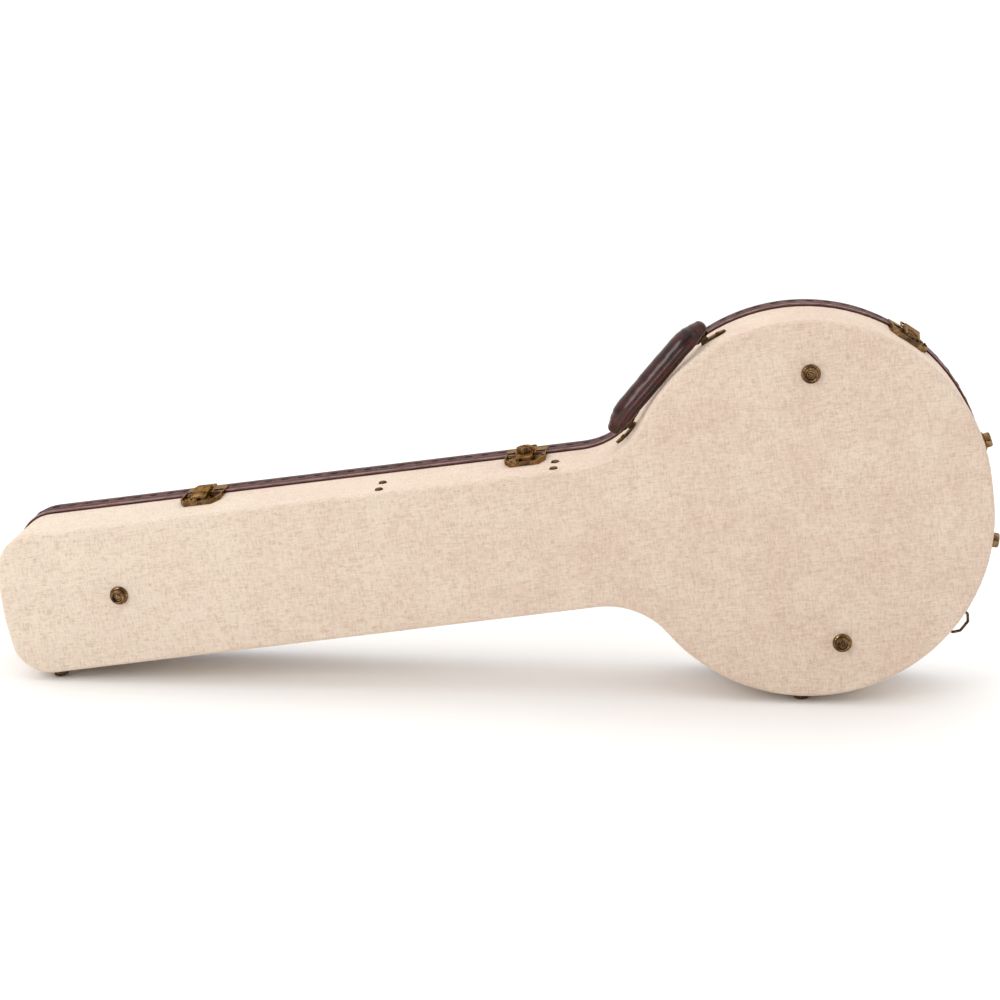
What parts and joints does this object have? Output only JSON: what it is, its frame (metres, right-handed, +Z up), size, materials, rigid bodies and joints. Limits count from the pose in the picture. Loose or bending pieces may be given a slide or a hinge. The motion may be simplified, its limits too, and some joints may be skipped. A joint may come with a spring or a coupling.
{
  "type": "banjo case",
  "caption": "Hard-shell banjo case with a cloth-covered base, padded dark lid band, three latches, carrying handle, stud feet and a padded interior with an accessory box.",
  "frame": {"origin": "on the floor under the middle of the case's bounding box, standing on its lower stud feet", "axes": "+X along the case towards its round end, +Y from the back panel towards the lid's front, +Z up"},
  "size_m": [1.0832, 0.1474, 0.4207],
  "materials": {
    "cream_cloth": "woven",
    "plywood": "satin",
    "dark_leatherette": "grained, matte",
    "plush": "short pile",
    "antique_brass": "antiqued, worn",
    "handle_leather": "polished, creased",
    "dark_bronze": "dark satin",
    "ribbon": "woven",
    "worn_steel": "worn satin"
  },
  "bodies": {
    "case_base": {"base_covering": "cream_cloth", "base_back_panel": "plywood", "base_side_wall": "plywood", "base_rim_bead": "dark_leatherette", "base_wall_lining": "plush", "tongue_strip": "plush", "base_floor_pad": "plush", "body_rim_pad": "plush", "neck_cradle": "plush", "heel_block": "plush", "compartment_wall_outer": "plush", "compartment_wall_inner": "plush", "compartment_hinge_pin": "worn_steel", "compartment_rivets": "dark_bronze", "back_feet": "antique_brass", "bottom_feet": "antique_brass", "end_feet": "antique_brass", "foot_nails": "antique_brass", "hinge_leaves_base": "antique_brass", "hinge_pins": "worn_steel", "handle_brackets": "dark_bronze", "handle_rivets": "dark_bronze", "strap_ring_bracket": "dark_bronze", "latch_1_plate": "antique_brass", "latch_1_pin": "worn_steel", "latch_2_plate": "antique_brass", "latch_2_pin": "worn_steel", "latch_3_plate": "antique_brass", "latch_3_pin": "worn_steel", "latch_rivets": "antique_brass"},
    "lid": {"lid_side_wall": "plywood", "lid_front_panel": "plywood", "lid_covering": "cream_cloth", "lid_band": "dark_leatherette", "lid_welt": "dark_leatherette", "lid_lining": "plush", "hinge_leaves_lid": "antique_brass", "latch_1_keeper": "antique_brass", "latch_2_keeper": "antique_brass", "latch_3_keeper": "antique_brass"},
    "handle": {"handle_grip": "handle_leather", "handle_rings": "dark_bronze"},
    "strap_ring": {"strap_ring": "dark_bronze"},
    "accessory_box_lid": {"compartment_lid": "plush", "pull_tab": "ribbon"},
    "lock": {"lock_cylinder": "antique_brass"},
    "lever_1": {"latch_1_lever": "antique_brass"},
    "hook_1": {"latch_1_hook": "antique_brass"},
    "lever_2": {"latch_2_lever": "antique_brass"},
    "hook_2": {"latch_2_hook": "antique_brass"},
    "lever_3": {"latch_3_lever": "antique_brass"},
    "hook_3": {"latch_3_hook": "antique_brass"}
  },
  "joints": [
    {"name": "lid_hinge", "type": "hinge", "parent": "case_base", "child": "lid", "pos_m": [0.29594, 0.03175, 0.004], "axis": [-1, 0, 0], "range_deg": [0, 100]},
    {"name": "latch_1_lever_hinge", "type": "hinge", "parent": "case_base", "child": "lever_1", "pos_m": [-0.32564, 0.02275, 0.20026], "axis": [-0.9888, 0, -0.1492], "range_deg": [0, 110]},
    {"name": "latch_1_hook_hinge", "type": "hinge", "parent": "lever_1", "child": "hook_1", "pos_m": [-0.32534, 0.01675, 0.19828], "axis": [-0.9888, 0, -0.1492], "range_deg": [-110, 0]},
    {"name": "latch_2_lever_hinge", "type": "hinge", "parent": "case_base", "child": "lever_2", "pos_m": [0.03348, 0.02275, 0.25321], "axis": [-0.9888, 0, -0.1492], "range_deg": [0, 110]},
    {"name": "latch_2_hook_hinge", "type": "hinge", "parent": "lever_2", "child": "hook_2", "pos_m": [0.03378, 0.01675, 0.25123], "axis": [-0.9888, 0, -0.1492], "range_deg": [-110, 0]},
    {"name": "latch_3_lever_hinge", "type": "hinge", "parent": "case_base", "child": "lever_3", "pos_m": [0.44435, 0.02275, 0.39384], "axis": [-0.8442, 0, 0.5361], "range_deg": [0, 110]},
    {"name": "latch_3_hook_hinge", "type": "hinge", "parent": "lever_3", "child": "hook_3", "pos_m": [0.44328, 0.01675, 0.39215], "axis": [-0.8442, 0, 0.5361], "range_deg": [-110, 0]},
    {"name": "lock_turn", "type": "hinge", "parent": "lever_2", "child": "lock", "pos_m": [0.03237, 0.01425, 0.26052], "axis": [-0.1492, 0, 0.9888], "range_deg": [0, 90]},
    {"name": "handle_swing", "type": "hinge", "parent": "case_base", "child": "handle", "pos_m": [0.18504, -0.01525, 0.34125], "axis": [-0.6253, 0, -0.7804], "range_deg": [0, 124]},
    {"name": "strap_ring_swing", "type": "hinge", "parent": "case_base", "child": "strap_ring", "pos_m": [0.50165, -0.01725, 0.08717], "axis": [-0.5795, 0, -0.8149], "range_deg": [-80, 80]},
    {"name": "accessory_box_lid_hinge", "type": "hinge", "parent": "case_base", "child": "accessory_box_lid", "pos_m": [-0.02311, 0.00075, 0.22109], "axis": [0.9888, 0, 0.1492], "range_deg": [0, 28]}
  ],
  "couplings": [
    {"joint": "latch_1_hook_hinge", "follows": "latch_1_lever_hinge", "ratio": -1},
    {"joint": "latch_2_hook_hinge", "follows": "latch_2_lever_hinge", "ratio": -1},
    {"joint": "latch_3_hook_hinge", "follows": "latch_3_lever_hinge", "ratio": -1}
  ]
}
